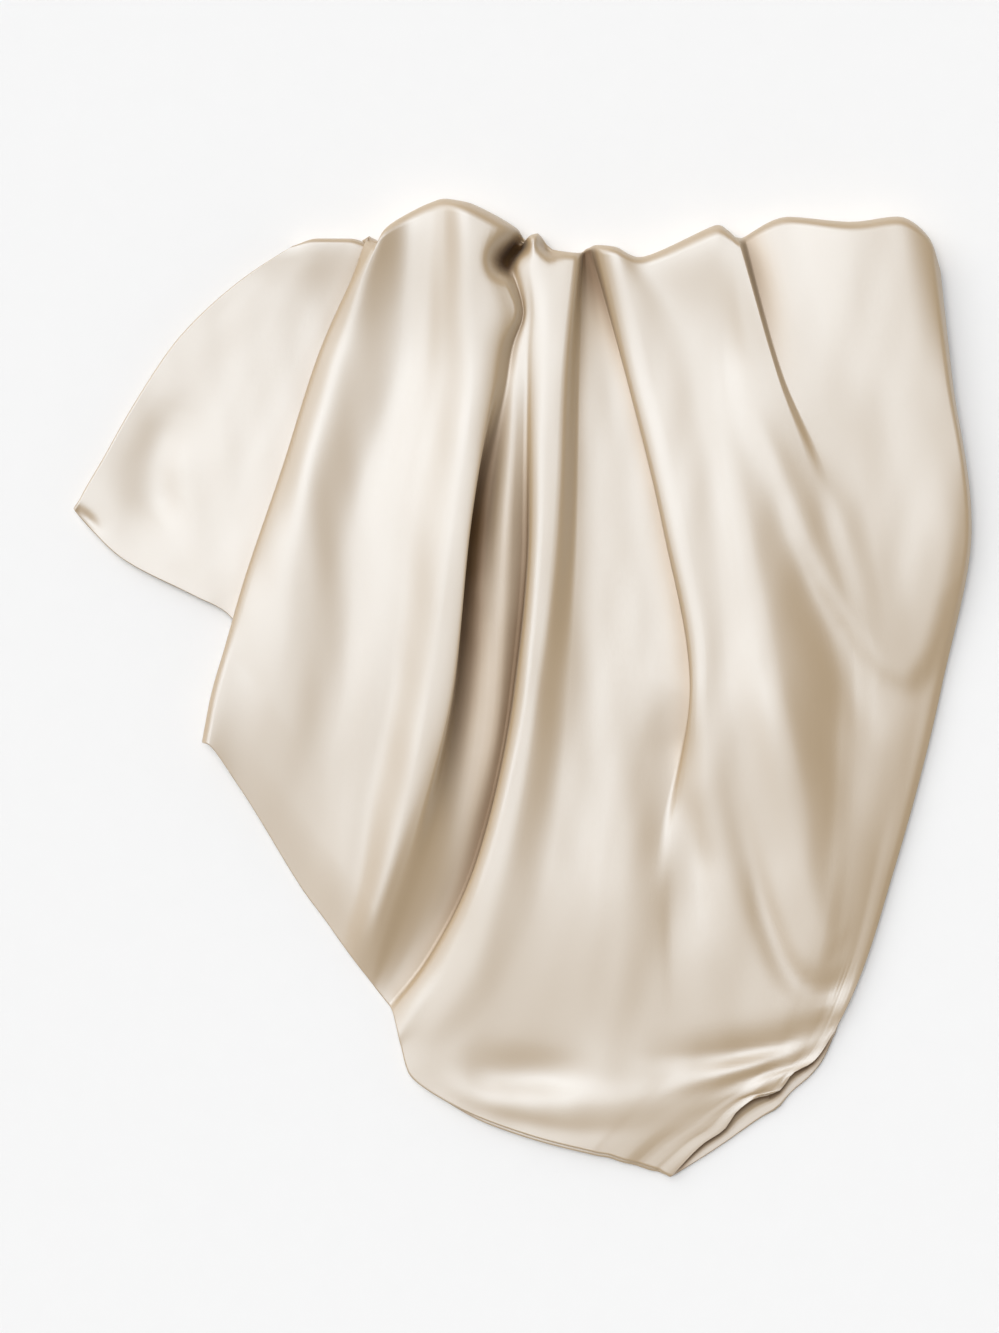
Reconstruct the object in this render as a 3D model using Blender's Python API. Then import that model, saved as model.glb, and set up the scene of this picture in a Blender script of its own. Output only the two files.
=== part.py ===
"""Satin pillowcase laid down in loose folds, seen from straight above.

Two whole rectangles of cloth, front_panel and back_panel, lie on each other and take the same folds.
The head end turns under and lies flat on the surface beneath. Sizes are in millimetres, x to the
right and y away from the hem, and are turned into metres when the meshes are made.
"""
from collections import namedtuple

import bmesh
import bpy
import numpy as np

MM = 0.001

CASE_WIDTH = 510.0        # flat size of each panel, across the mouth
CASE_LENGTH = 660.0       # flat size of each panel, mouth to closed end
CLOTH = 1.0               # thickness of one panel
PLY_GAP = 0.45            # air between the two panels
ROLL_ANGLES = (-90, -45, 0, 45, 90)    # round the half circle where the cloth turns under
CELL_ACROSS = 18        # grid step across the folds
CELL_ALONG = 16         # grid step along the folds
CORNER_INSET = 7.0        # how far the front hem curves in at the open corner
BACK_SHOWS = 11.0         # how far the back panel shows past the front hem there

Spot = namedtuple("Spot", "x y z")
FoldLine = namedtuple("FoldLine", "name bend top upper middle waist lower foot hem")
Crease = namedtuple("Crease", "name side path width height")

# One row for each line that runs along the folds, left to right, with the outer face's place at seven
# stations from the head edge to the hem. A bend is the radius of a hairpin: plus turns the cloth back
# over itself, minus tucks it back under.
FOLD_LINES = (
    FoldLine("flap_side", 0, (-131, 252, 12), (-161, 231, 10), (-196, 198, 8), (-222, 158, 7),
             (-240, 128, 7), (-250, 111, 8), (-256, 100, 9)),
    FoldLine("flap_left", 0, (-118, 255, 15), (-139, 224, 12), (-168, 180, 9), (-190, 138, 8),
             (-208, 108, 8), (-220, 88, 9), (-231, 74, 9)),
    FoldLine("flap_right", 0, (-105, 255, 14), (-118, 214, 10), (-140, 158, 8.5), (-159, 112, 8),
             (-174, 82, 7), (-184, 63, 7.5), (-191, 52, 8)),
    FoldLine("flap_under", 0, (-101, 254, 9.5), (-104, 206, 6.6), (-124, 142, 6.6), (-144, 90, 6.6),
             (-157, 60, 6.6), (-164, 46, 6.6), (-170, 42, 6.6)),
    FoldLine("tuck", -1.35, (-95, 254, 10), (-93, 201, 8), (-110, 132, 8), (-130, 76, 8),
             (-141, 42, 8), (-146, 26, 8), (-150, 14, 8)),
    FoldLine("fold_edge", 3.1, (-87, 254, 20), (-116, 193, 12.5), (-139, 122, 12.5), (-160, 60, 12.5),
             (-171, 22, 12.5), (-179, -6, 12.5), (-184, -32, 12)),
    FoldLine("fold_shoulder", 0, (-78, 261.5, 28), (-106, 189, 20), (-128, 113, 18.5), (-147, 45, 17),
             (-159, 2, 16), (-168, -25, 15), (-174, -46, 13)),
    FoldLine("fold_valley", 0, (-66, 271, 25), (-88, 180, 16), (-104, 92, 12), (-110, 8, 9),
             (-112, -50, 8), (-122, -80, 7), (-138, -100, 5)),
    FoldLine("fold_ridge", 0, (-41, 278, 38), (-37, 180, 34), (-50, 90, 30), (-61, 0, 26),
             (-76, -80, 21), (-90, -122, 13), (-102, -151, 6)),
    FoldLine("fold_brink", 0, (-12, 267, 28), (-14, 180, 25), (-29, 90, 23), (-44, 0, 19),
             (-60, -86, 12), (-77, -138, 7), (-90, -166, 3.5)),
    FoldLine("brink_foot", 0, (-7, 258, 16), (-16, 179, 9), (-31, 89, 6.5), (-45, -4, 5),
             (-57, -90, 5), (-73, -143, 3.6), (-86, -170, 2.6)),
    FoldLine("valley", 0, (-2.5, 254, 12), (-8, 178, 6.6), (-15, 88, 6), (-24, -8, 4),
             (-42, -98, 4), (-65, -153, 3.4), (-81, -177, 2.6)),
    FoldLine("strand_foot", 0, (1, 254, 14), (2, 178, 8), (2, 88, 6.6), (-5, -8, 6),
             (-25, -104, 7), (-57, -158, 5), (-77, -182, 2.6)),
    FoldLine("strand_edge", 0, (4.5, 255, 20), (4, 180, 18), (2.5, 90, 16), (-4.5, 0, 14),
             (-24, -98, 14), (-57, -154, 10), (-75, -186, 6)),
    FoldLine("strand_crest", 0, (10, 257, 26), (11, 181, 24), (9, 91, 22), (3, 1, 20),
             (-14, -98, 20), (-48, -160, 17), (-72, -198, 9)),
    FoldLine("groove", 0, (25, 247, 12), (26, 180, 8), (27, 90, 7), (25, 0, 7),
             (12, -108, 11), (-25, -190, 15), (-66, -221, 7)),
    FoldLine("panel_left", 0, (31, 248, 12), (37, 180, 12), (42, 90, 12), (43, 0, 12),
             (37, -113, 14), (10, -204, 15), (-38, -241, 6)),
    FoldLine("panel_right", 0, (35, 250, 12), (50, 180, 12), (67, 90, 12), (76, 0, 11),
             (70, -115, 12), (55, -208, 14), (10, -259, 6)),
    FoldLine("crease_foot", 0, (39, 251, 13), (59, 179, 9), (81, 89, 8), (96, -2, 9),
             (85, -114, 11), (80, -208, 13), (38, -266, 5)),
    FoldLine("crease_edge", 0, (44, 252, 19), (57, 181, 17.5), (79, 91, 16.5), (94, 1, 14),
             (88, -112, 13), (85, -207, 13), (42, -267, 5)),
    FoldLine("crease_crest", 0, (50, 251, 23), (66, 182, 22), (87, 92, 21), (101, 2, 18),
             (96, -110, 14), (95, -206, 13), (48, -268, 5)),
    FoldLine("hollow", 0, (62, 244, 14), (86, 182, 14), (102, 92, 14), (111, 1, 12),
             (119, -106, 9), (119, -204, 11), (57, -271, 5)),
    FoldLine("ridge", 0, (110, 263, 28), (114, 180, 26), (120, 92, 25), (126, 0, 21),
             (144, -102, 19), (143, -203, 11), (65, -273, 5)),
    FoldLine("lap_edge", 0, (121, 256, 24), (145, 180, 22), (163, 96, 18), (168, 0, 12),
             (171, -103, 12), (158, -202, 8), (71, -275, 4.5)),
    FoldLine("lap_foot", 0, (124, 256, 16), (149, 179, 15), (168, 95, 16), (176, 0, 12),
             (178, -104, 10), (163, -201, 7), (74, -276, 4)),
    FoldLine("cowl_left", 0, (152, 268, 22), (174, 179, 19), (192, 94, 19), (198, 0, 13),
             (190, -104, 8), (168, -200, 6), (77, -277, 3.4)),
    FoldLine("cowl_right", 0, (213, 268, 24), (223, 177, 20), (234, 92, 19), (222, 0, 12),
             (203, -104, 7), (173, -199, 5.5), (80, -278, 3)),
    FoldLine("mouth_side", 0, (236, 241, 13), (244, 172, 9), (255, 90, 9), (238, 0, 8),
             (211, -104, 6), (177, -198, 4.6), (83, -279, 2.6)),
)
# Where the turned-under end of the first and of the last line lies.
BACK_FIRST = Spot(160, -100, 0)
BACK_LAST = Spot(238, 160, 0)
# Share of each line's length at its stations, from the turned-under end to the hem.
STATION_SHARES = (0.0, 0.18, 0.197, 0.214, 0.231, 0.248, 0.42, 0.56, 0.68, 0.81, 0.92, 1.0)
FINER = (0.7, 1.0, 1.0, 1.0, 1.0, 1.6, 1.0, 1.0, 1.0, 1.0, 1.0)
SOFTEN = 2                # passes that even out the layers' direction along the folds
TURN = 3                  # the station on the head edge
FRONT = 5                 # the first station of the face that shows

# Soft ridges, and troughs with a minus height, that cross the grid of fold lines.
CREASES = (
    Crease("cowl_ridge", "main", ((120, 120), (150, 90), (180, 30), (210, 4), (240, 40)), 11, 5),
    Crease("cowl_trough", "main", ((134, 110), (152, 55), (170, 0), (196, -38)), 13, -6),
    Crease("lower_trough", "main", ((104, -10), (116, -85), (140, -150), (174, -166)), 8, -4),
    Crease("hem_dip", "main", ((-40, -238), (5, -247), (55, -249), (108, -236)), 8, -4),
    Crease("hem_roll", "main", ((-58, -220), (20, -224), (100, -214), (165, -202)), 9, 3),
)


def pchip(knots, values, at):
    """Read values at places between the knots on a smooth curve that never overshoots them."""
    knots = np.asarray(knots, float)
    values = np.asarray(values, float)
    column = (-1,) + (1,) * (values.ndim - 1)
    step = np.diff(knots)
    slope = np.diff(values, axis=0) / step.reshape(column)
    before = (2 * step[1:] + step[:-1]).reshape(column)
    after = (step[1:] + 2 * step[:-1]).reshape(column)
    same_way = slope[:-1] * slope[1:] > 0
    low = np.where(same_way, slope[:-1], 1.0)
    high = np.where(same_way, slope[1:], 1.0)
    inner = np.where(same_way, (before + after) / (before / low + after / high), 0.0)
    rate = np.concatenate([slope[:1], inner, slope[-1:]])
    cell = np.clip(np.searchsorted(knots, at, side="right") - 1, 0, len(step) - 1)
    width = step[cell].reshape(column)
    t = (at - knots[cell]).reshape(column) / width
    return ((1 + 2 * t) * (1 - t) ** 2 * values[cell] + t * (1 - t) ** 2 * width * rate[cell]
            + t * t * (3 - 2 * t) * values[cell + 1] + t * t * (t - 1) * width * rate[cell + 1])


def unit(vectors):
    return vectors / np.maximum(np.linalg.norm(vectors, axis=-1, keepdims=True), 1e-9)


def smooth_step(value):
    t = np.clip(value, 0.0, 1.0)
    return t * t * (3 - 2 * t)


def fold_columns():
    """The fold lines as columns of points, each hairpin as three columns round its bend."""
    columns = []
    for line in FOLD_LINES:
        points = np.array(line[2:], float)
        if not line.bend:
            columns.append(points)
            continue
        run = unit(np.gradient(points[:, :2], axis=0))
        inward = np.stack([-run[:, 1], run[:, 0], np.zeros(len(run))], axis=1) * np.sign(line.bend)
        rise = np.array([0.0, 0.0, abs(line.bend)])
        lower = inward * abs(line.bend)
        upper = lower.copy()
        lower[0] *= -np.sign(line.bend)
        upper[0] *= np.sign(line.bend)
        columns.append(points + lower - rise)
        columns.append(points)
        columns.append(points + upper + rise)
    return columns


def cloth_net():
    """Every column with its turned-under end, its turn at the head edge and its shoulder."""
    columns = fold_columns()
    first = columns[0][0, 0]
    last = columns[-1][0, 0]
    net = []
    for points in columns:
        top = points[0]
        share = (top[0] - first) / (last - first)
        end = np.array(BACK_FIRST) + share * (np.array(BACK_LAST) - np.array(BACK_FIRST))
        radius = top[2] / 2
        roll = []
        for angle in np.radians(ROLL_ANGLES):
            toward = points[1, :2] - top[:2] if angle > 0 else np.array([0.0, -1.0])
            inward = unit(toward) * radius * (1 - np.cos(angle))
            roll.append(np.append(top[:2] + inward, radius * (1 + np.sin(angle))))
        net.append(np.vstack([end, roll, points[1:]]))
    return np.array(net)


def ladder(knots, gaps, step):
    """The knots with even rungs between them, about one step apart."""
    rungs = []
    for low, high, gap in zip(knots[:-1], knots[1:], gaps):
        count = max(1, int(round(gap / step)))
        rungs.extend(low + (high - low) * np.arange(count) / count)
    return np.array(rungs + [knots[-1]])


def crease_reach(place, path):
    """Distance of each place from the crease's curve, and how strong the crease is there."""
    path = np.array(path, float)
    line = pchip(np.linspace(0, 1, len(path)), path, np.linspace(0, 1, 41))
    gaps = np.linalg.norm(place[..., None, :] - line, axis=-1)
    nearest = gaps.argmin(axis=-1) / 40.0
    fade = smooth_step(nearest / 0.22) * smooth_step((1 - nearest) / 0.22)
    return gaps.min(axis=-1), fade


def rest_height(place):
    """The lowest that the outer face may lie: on the surface, or on the cloth turned under."""
    start = np.array(FOLD_LINES[0].top[:2], float) - (0, 20)
    end = np.array(BACK_FIRST[:2], float)
    side = unit(end - start)
    inside = (place[..., 0] - start[0]) * -side[1] + (place[..., 1] - start[1]) * side[0]
    plies = 2 * CLOTH + PLY_GAP
    return plies + (plies + 0.6) * smooth_step(0.5 + inside / 20.0)


def cloth_face(across_step=CELL_ACROSS, along_step=CELL_ALONG):
    """The outer face of the front panel as a grid of points, with its shares across and along."""
    net = cloth_net()
    shares = np.array(STATION_SHARES)
    widths = np.linalg.norm(np.diff(net[:, FRONT:], axis=0), axis=2)
    knots = np.concatenate([[0.0], np.cumsum(widths.mean(axis=1) ** 0.7)])
    lengths = np.linalg.norm(np.diff(net, axis=1), axis=2).mean(axis=0) * FINER
    across = ladder(knots, widths.max(axis=1), across_step)
    along = ladder(shares, lengths, along_step)
    runs = pchip(shares[1:], net[:, 1:].transpose(1, 0, 2), along)
    flat = np.clip(along / shares[1], 0, 1)[:, None, None]
    runs = np.where(flat < 1, net[:, 0] + (net[:, 1] - net[:, 0]) * flat, runs)
    face = pchip(knots, runs.transpose(1, 0, 2), across)
    showing = smooth_step((along - shares[TURN]) / (shares[FRONT] - shares[TURN]))
    main = across >= knots[FOLD_LINES_NAMES.index("fold_edge")]
    for crease in CREASES:
        gap, fade = crease_reach(face[..., :2], crease.path)
        on_side = main if crease.side == "main" else ~main
        face[..., 2] += crease.height * fade * np.exp(-(gap / crease.width) ** 2) * showing * on_side[:, None]
    lowest = rest_height(face[..., :2])
    shown = along >= shares[FRONT]
    face[:, shown, 2] = np.maximum(face[:, shown, 2], lowest[:, shown])
    return face, across / across[-1], along


FOLD_LINES_NAMES = [name for line in FOLD_LINES for name in ([line.name] * (3 if line.bend else 1))]


def face_normals(face):
    """Outward direction at each point of the grid, longer where the cloth bends sharply."""
    side = face[1:] - face[:-1]
    run = face[:, 1:] - face[:, :-1]
    cells = unit(np.cross((run[1:] + run[:-1]), (side[:, 1:] + side[:, :-1])))
    total = np.zeros_like(face)
    for i in (0, 1):
        for j in (0, 1):
            total[i:face.shape[0] - 1 + i, j:face.shape[1] - 1 + j] += cells
    normals = unit(total)
    for _ in range(SOFTEN):
        normals[:, 1:-1] = unit(normals[:, :-2] + 2 * normals[:, 1:-1] + normals[:, 2:])
    least = np.ones(face.shape[:2])
    for i in (0, 1):
        for j in (0, 1):
            part = normals[i:face.shape[0] - 1 + i, j:face.shape[1] - 1 + j]
            lean = (part * cells).sum(axis=-1)
            view = least[i:face.shape[0] - 1 + i, j:face.shape[1] - 1 + j]
            np.minimum(view, lean, out=view)
    return normals / np.clip(least, 0.72, 1.0)[..., None]


def solid(name, outer, inner):
    """A closed solid between two grids of points."""
    rows, cols = outer.shape[:2]
    mesh = bmesh.new()
    sheets = []
    for grid in (outer, inner):
        sheets.append([[mesh.verts.new(grid[i, j] * MM) for j in range(cols)] for i in range(rows)])
    top, under = sheets
    for i in range(rows - 1):
        for j in range(cols - 1):
            for sheet, order in ((top, 1), (under, -1)):
                a, b = sheet[i][j], sheet[i + 1][j]
                c, d = sheet[i + 1][j + 1], sheet[i][j + 1]
                mesh.faces.new((a, b, c)[::order])
                mesh.faces.new((a, c, d)[::order])
    ring = [(i, 0) for i in range(rows)] + [(rows - 1, j) for j in range(1, cols)]
    ring += [(i, cols - 1) for i in range(rows - 2, -1, -1)] + [(0, j) for j in range(cols - 2, 0, -1)]
    for (i, j), (k, l) in zip(ring, ring[1:] + ring[:1]):
        mesh.faces.new((top[i][j], under[i][j], under[k][l]))
        mesh.faces.new((top[i][j], under[k][l], top[k][l]))
    bmesh.ops.recalc_face_normals(mesh, faces=mesh.faces)
    data = bpy.data.meshes.new(name)
    mesh.to_mesh(data)
    mesh.free()
    thing = bpy.data.objects.new(name, data)
    bpy.context.scene.collection.objects.link(thing)
    return thing


def open_corner(face, along):
    """Curve the hem in at the open corner, and say which way the back panel shows past it."""
    shares = STATION_SHARES
    foot, hem = shares[-2], shares[-1]
    middle = np.sin(np.pi * np.clip((along - foot) / (hem - foot), 0, 1))
    corner = np.array(FOLD_LINES[-1].hem[:2]) - np.array(FOLD_LINES[-1].foot[:2])
    inward = unit(np.array([corner[1], -corner[0]], float))
    depth = np.linalg.norm(face[..., :2] - face[-1:, :, :2], axis=-1)
    weight = np.clip(1 - depth / 45.0, 0, 1) ** 2
    weight[: face.shape[0] // 2] = 0
    face[..., :2] += (weight * middle)[..., None] * inward * CORNER_INSET
    return inward, middle


def main():
    for thing in list(bpy.data.objects):
        bpy.data.objects.remove(thing)
    face, across, along = cloth_face()
    inward, middle = open_corner(face, along)
    out = face_normals(face)
    solid("front_panel", face, face - out * CLOTH)
    upper = face - out * (CLOTH + PLY_GAP)
    under = face - out * (2 * CLOTH + PLY_GAP)
    for sheet, height in ((upper, CLOTH + 0.2), (under, 0.2)):
        sheet[-1, :, :2] -= middle[:, None] * inward * BACK_SHOWS
        sheet[-1, :, 2] += (height - sheet[-1, :, 2]) * smooth_step(middle * 2)
    solid("back_panel", upper, under)


main()
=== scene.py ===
"""Satin pillowcase laid down in loose folds, seen from straight above.

Two whole rectangles of satin, the front cloth and the back cloth, lie on each other and take the same
folds. The head end turns under and lies flat on the surface beneath. The tables of folds and creases
are in millimetres, x to the right and y away from the hem; everything made from them is in metres.
"""

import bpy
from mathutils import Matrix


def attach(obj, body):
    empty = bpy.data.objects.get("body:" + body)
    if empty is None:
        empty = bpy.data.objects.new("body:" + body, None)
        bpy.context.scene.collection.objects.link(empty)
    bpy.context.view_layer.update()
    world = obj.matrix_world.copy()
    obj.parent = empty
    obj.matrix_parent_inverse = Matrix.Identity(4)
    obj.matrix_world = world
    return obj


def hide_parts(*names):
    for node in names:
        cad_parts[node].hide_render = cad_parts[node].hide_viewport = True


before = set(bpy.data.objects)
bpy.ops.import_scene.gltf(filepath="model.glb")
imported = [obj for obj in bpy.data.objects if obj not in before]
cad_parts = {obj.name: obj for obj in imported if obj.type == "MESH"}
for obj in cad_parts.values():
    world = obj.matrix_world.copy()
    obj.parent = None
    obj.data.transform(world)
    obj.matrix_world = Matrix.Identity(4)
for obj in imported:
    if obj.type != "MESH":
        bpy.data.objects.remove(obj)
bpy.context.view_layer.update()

import math
from collections import namedtuple

import bpy
import numpy as np
from mathutils import Vector

bl_info = {
    "name": "Folded Satin Pillowcase",
    "version": (1, 0, 0),
    "blender": (4, 5, 0),
    "location": "3D View > Sidebar > Pillowcase",
    "description": "Makes a satin pillowcase laid down in loose folds",
    "category": "Mesh",
}

MM = 0.001

Spot = namedtuple("Spot", "x y z")
FoldLine = namedtuple("FoldLine", "name bend cells top upper middle waist lower foot hem")
Crease = namedtuple("Crease", "name side path left right ends height")
Pull = namedtuple("Pull", "name at reach move")
Lap = namedtuple("Lap", "name path edge height low high")
Seam = namedtuple("Seam", "name share front lift back")

# One row for each line that runs along the folds, left to right, with the outer face's place at seven
# stations from the head edge to the hem. A bend is the radius of a hairpin: plus turns the cloth back
# over itself, minus tucks it back under. Cells is the least number of grid cells to the next line.
FOLD_LINES = (
    FoldLine("flap_side", 0, 2, (-131, 252, 12), (-162, 231.5, 10), (-197, 199, 9), (-224, 159, 8.6),
             (-241, 129, 8.4), (-251, 112, 8.4), (-257, 100.5, 8.6)),
    FoldLine("flap_left", 0, 2, (-118, 256, 12.4), (-139, 224, 9.4), (-168, 180, 7.6), (-190, 138, 6.6),
             (-208, 108, 6.2), (-220, 88, 6.8), (-231, 74, 7.4)),
    FoldLine("flap_right", 0, 1, (-99, 256, 11.6), (-114, 213, 7.6), (-137, 158, 6.8), (-157, 112, 6.4),
             (-172, 82, 6.2), (-182, 63, 6.6), (-189, 52, 7.2)),
    FoldLine("flap_under", 0, 1, (-89, 253, 10.8), (-104, 206, 6.8), (-124, 142, 6.6), (-144, 90, 6.6),
             (-157, 60, 6.6), (-164, 46, 6.6), (-170, 42, 6.6)),
    FoldLine("tuck", -1.35, 2, (-84, 252, 10), (-93, 201, 8), (-110, 132, 8), (-130, 76, 8),
             (-141, 42, 8), (-146, 26, 8), (-150, 14, 8)),
    FoldLine("fold_edge", 3.1, 3, (-87, 254, 20), (-116, 193, 12.5), (-139, 122, 12.5), (-160, 60, 12.5),
             (-171, 22, 12.5), (-179, -6, 12.5), (-184, -32, 12)),
    FoldLine("fold_shoulder", 0, 4, (-80, 260, 24), (-103, 190, 18.4), (-124, 114, 19),
             (-136, 46, 17.6), (-147, 0, 15.8), (-156, -31, 13.4), (-163, -57, 11)),
    FoldLine("fold_valley", 0, 4, (-64, 271, 21.5), (-71, 181, 15), (-95, 95, 15), (-100, 10, 13.6),
             (-111, -50, 11.2), (-116, -86, 8.8), (-125, -119, 5)),
    FoldLine("pleat_crest", 0, 3, (-53, 276, 22.6), (-58, 181, 16), (-78, 93, 15.8), (-87, 4, 14),
             (-98, -56, 11.2), (-105, -100, 9), (-113, -135, 5)),
    FoldLine("pleat_valley", 0, 3, (-46, 278, 24), (-47, 181, 18), (-64, 92, 17), (-75, 2, 14),
             (-88, -63, 11), (-96, -112, 8.8), (-106, -145, 5)),
    FoldLine("fold_ridge", 0, 4, (-33, 276, 27), (-30, 180, 21.2), (-41, 90, 21), (-54, 0, 17.8),
             (-70, -75, 15), (-86, -126, 11.4), (-98, -156, 5.5)),
    FoldLine("fold_brink", 0, 3, (-3, 260, 24), (-15.6, 181, 19.8), (-30.5, 90, 20.2), (-40, 0, 17),
             (-61, -82, 13.4), (-79, -137, 9), (-88, -169, 3.5)),
    FoldLine("brink_foot", 0, 2, (-0.5, 256, 16), (-11.2, 180, 17.2), (-32.5, 89, 9.4), (-39, -4, 7.8),
             (-55, -89, 9.2), (-73, -143, 6), (-85, -173, 2.8)),
    FoldLine("valley", 0, 3, (1, 255, 14.5), (-8.6, 179, 15.8), (-24, 88, 5.2), (-29, -8, 4.8),
             (-44, -96, 5.6), (-66, -152, 3.6), (-81, -178, 2.6)),
    FoldLine("strip", 0, 2, (2.8, 257, 17.4), (-4.4, 178.5, 16.6), (-10.4, 88, 10.6), (-14, -8, 5.2),
             (-35, -101, 3.8), (-61, -156, 3), (-79, -180.5, 2.6)),
    FoldLine("strand_foot", 0, 2, (4.8, 258, 18.4), (1.2, 178, 16.8), (1.2, 88, 8.4), (-7.6, -8, 3.8),
             (-29, -103, 3.2), (-57, -158, 2.8), (-77, -183, 2.6)),
    FoldLine("strand_edge", 0, 2, (8, 258.5, 19), (4.6, 180, 18.2), (3.4, 90, 16.2), (-4.4, 0, 14),
             (-26, -98, 11.6), (-53, -156, 7.4), (-75, -187, 6)),
    FoldLine("strand_crest", 0, 2, (16, 249.5, 18.6), (12, 181, 19.4), (9, 91, 18.6), (1.6, 1, 17),
             (-20, -97, 14.8), (-46, -160, 10.5), (-72, -199, 8)),
    FoldLine("strand_right", 0, 2, (30.5, 247.5, 18), (23.2, 180, 19), (18.8, 90, 18.2), (7.6, 0, 16.8),
             (-11, -101, 15), (-37, -172, 11), (-70, -207, 7.5)),
    FoldLine("groove", 0, 2, (34, 249, 8), (31, 180, 12.2), (29.4, 90, 12.4), (24, 0, 12.8),
             (12, -108, 12.8), (-25, -190, 9.5), (-66, -221, 7.6)),
    FoldLine("panel_left", 0, 2, (35, 250, 7), (39, 180, 11.2), (40, 90, 11.6), (42, 0, 11.4),
             (34, -112, 12.6), (10, -204, 8.6), (-38, -241, 7.6)),
    FoldLine("panel_right", 0, 2, (36, 250.5, 7), (50, 180, 10.6), (66, 90, 11.2), (72, 0, 11.6),
             (56, -112, 12.8), (50, -208, 8.4), (10, -259, 7.8)),
    FoldLine("crease_foot", 0, 2, (37.5, 251, 8), (57.6, 179, 10.4), (79.6, 89, 11.4), (95, -2, 12.2),
             (77, -108, 11.9), (78, -208, 8), (38, -266, 7.6)),
    FoldLine("crease_edge", 0, 2, (41, 252, 18), (57.4, 181, 15.6), (79.2, 91, 16.8), (94.6, 1, 16),
             (84, -106, 11.9), (86, -207, 8), (42, -267, 7.4)),
    FoldLine("crease_crest", 0, 2, (51, 251, 21), (69, 182, 17.8), (90, 92, 18.8), (103, 2, 17.8),
             (97, -107, 12), (97, -206, 8), (48, -268, 7.2)),
    FoldLine("hollow", 0, 3, (66, 245, 19.4), (94, 182, 17.2), (108, 92, 18.3), (115, 1, 17.6),
             (128, -106, 11.6), (120, -204, 7.6), (57, -271, 6.8)),
    FoldLine("ridge", 0, 3, (110, 263, 25), (114, 180, 17.6), (127, 92, 19), (145, 0, 19.2),
             (161, -102, 12.6), (143, -203, 7.6), (65, -273, 5.8)),
    FoldLine("trough", 0, 3, (116, 260, 25), (131, 181, 19.6), (151, 92, 16.6), (180, 2, 12.2),
             (176, -103, 11.4), (152, -202, 7.4), (68, -274, 5.6)),
    FoldLine("lap_edge", 0, 2, (121, 256, 25), (143.5, 180, 20.6), (168, 112, 15.8), (191, 4, 10.9),
             (185, -103, 10.2), (160, -202, 7.2), (71, -275, 5.5)),
    FoldLine("lap_foot", 0, 3, (124, 256, 17), (145.5, 179, 17), (174, 111, 15.4), (199, 3, 10.3),
             (190, -104, 9.6), (164, -201, 7), (74, -276, 5.4)),
    FoldLine("cowl_left", 0, 3, (150, 268, 19), (170, 179, 17.8), (195, 102, 14), (209, 1, 9.6),
             (196, -104, 8.8), (168, -200, 6.8), (77, -277, 5.2)),
    FoldLine("flap_crown", 0, 3, (186, 265, 22), (197, 178, 18.2), (215, 97, 13.6), (219, 0, 8.8),
             (201, -104, 8), (171, -199.5, 6.6), (80, -279, 5.1)),
    FoldLine("cowl_right", 0, 2, (213, 268, 22), (224, 177, 19), (238, 93, 14), (228, 0, 8),
             (206, -104, 7.4), (173.5, -199, 6.5), (82, -280, 5)),
    FoldLine("flap_corner", 0, 2, (231, 256, 19), (241, 175, 18.4), (252.5, 91, 13.4), (235, 0, 7.2),
             (209, -104, 6.9), (175.5, -198.5, 6.4), (83, -280.6, 4.9)),
    FoldLine("mouth_side", 0, 1, (237, 240, 14), (244.5, 172, 14.4), (255.5, 90, 11.2), (239, 0, 5.9),
             (212, -104, 5.9), (177.5, -198, 6.2), (84, -281, 4.8)),
)
LINE_NAMES = [name for line in FOLD_LINES for name in ([line.name] * (3 if line.bend else 1))]
# Where the turned-under end of the first and of the last line lies.
BACK_FIRST = Spot(160, -100, 0)
BACK_LAST = Spot(238, 160, 0)
# Share of each line's length at its stations, from the turned-under end to the hem.
STATION_SHARES = (0.0, 0.18, 0.197, 0.214, 0.231, 0.248, 0.42, 0.56, 0.68, 0.81, 0.92, 1.0)
FINER = (0.16, 1.6, 1.6, 1.6, 1.6, 1.1, 1.0, 1.0, 1.0, 1.0, 1.6)
ROLL_ANGLES = (-90, -45, 0, 45, 90)    # round the half circle where the cloth turns under
ROLL_DEPTH = 0.5          # how deep that half circle is, as a share of its height
TURN = 3                  # the station on the head edge
FRONT = 5                 # the first station of the face that shows
SPACING = 0.7             # how far the grid's spacing follows the distance between the lines
MITRE = 0.72              # the least that two faces at a sharp bend may share a direction
MAP_CELL = 2.0            # cell of the height map that the depth of the painted fold shade is read from
MAP_REACH = 5             # how far round each place it is evened, in cells
MAP_MARGIN = 20           # empty cells round it
DEPTH_START = 0.8         # a place less far below the cloth around it is in the open and takes no painted shade
DEEP = 4.4                # a place this far below the cloth around it is deep in a fold and takes the full painted shade
EDGE_LIGHT = 9.0          # how near to the open edges the folds' painted shade fades
HEAD_LIGHT = 0.022        # the same from the head edge, as a share of the lines' length
SIDE_DEPTH = 0.1          # how much of the painted fold shade the open side flap shows
WAVINESS = 0.0006         # height of the faint waves over the cloth, as a share of their width
TUCK_MARGIN = 20.0        # how far past the cloth turned under the cloth over it settles
TUCK_GAP = 0.6            # air between them
HEM_SHOWS = 1.8           # how far the back cloth shows below the hem
HEM_SHOWN_FROM = -50      # where along x the back cloth begins to show there
HEM_SHOWN_RAMP = 30       # how far it takes to show in full
HEM_SHOWN_END = 12        # and how far to draw in again at the lowest corner
SEAM_SHADE = 2.4          # how far the shade painted on the back cloth by the front's edge reaches at the open seam
SEAM_SHADE_DEPTH = 1.2    # how deep that painted shade is
SEAM_PULL = 45.0          # how far in from the open seam the cloth follows the shape of its edge
SEAM_LIFT = 12.0          # how far in it is lifted
SEAM_COLUMNS = 8.0        # grid columns over which the back cloth moves out there
SEAM_LIE = 1.6            # height of the back cloth over the surface where it shows there
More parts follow.
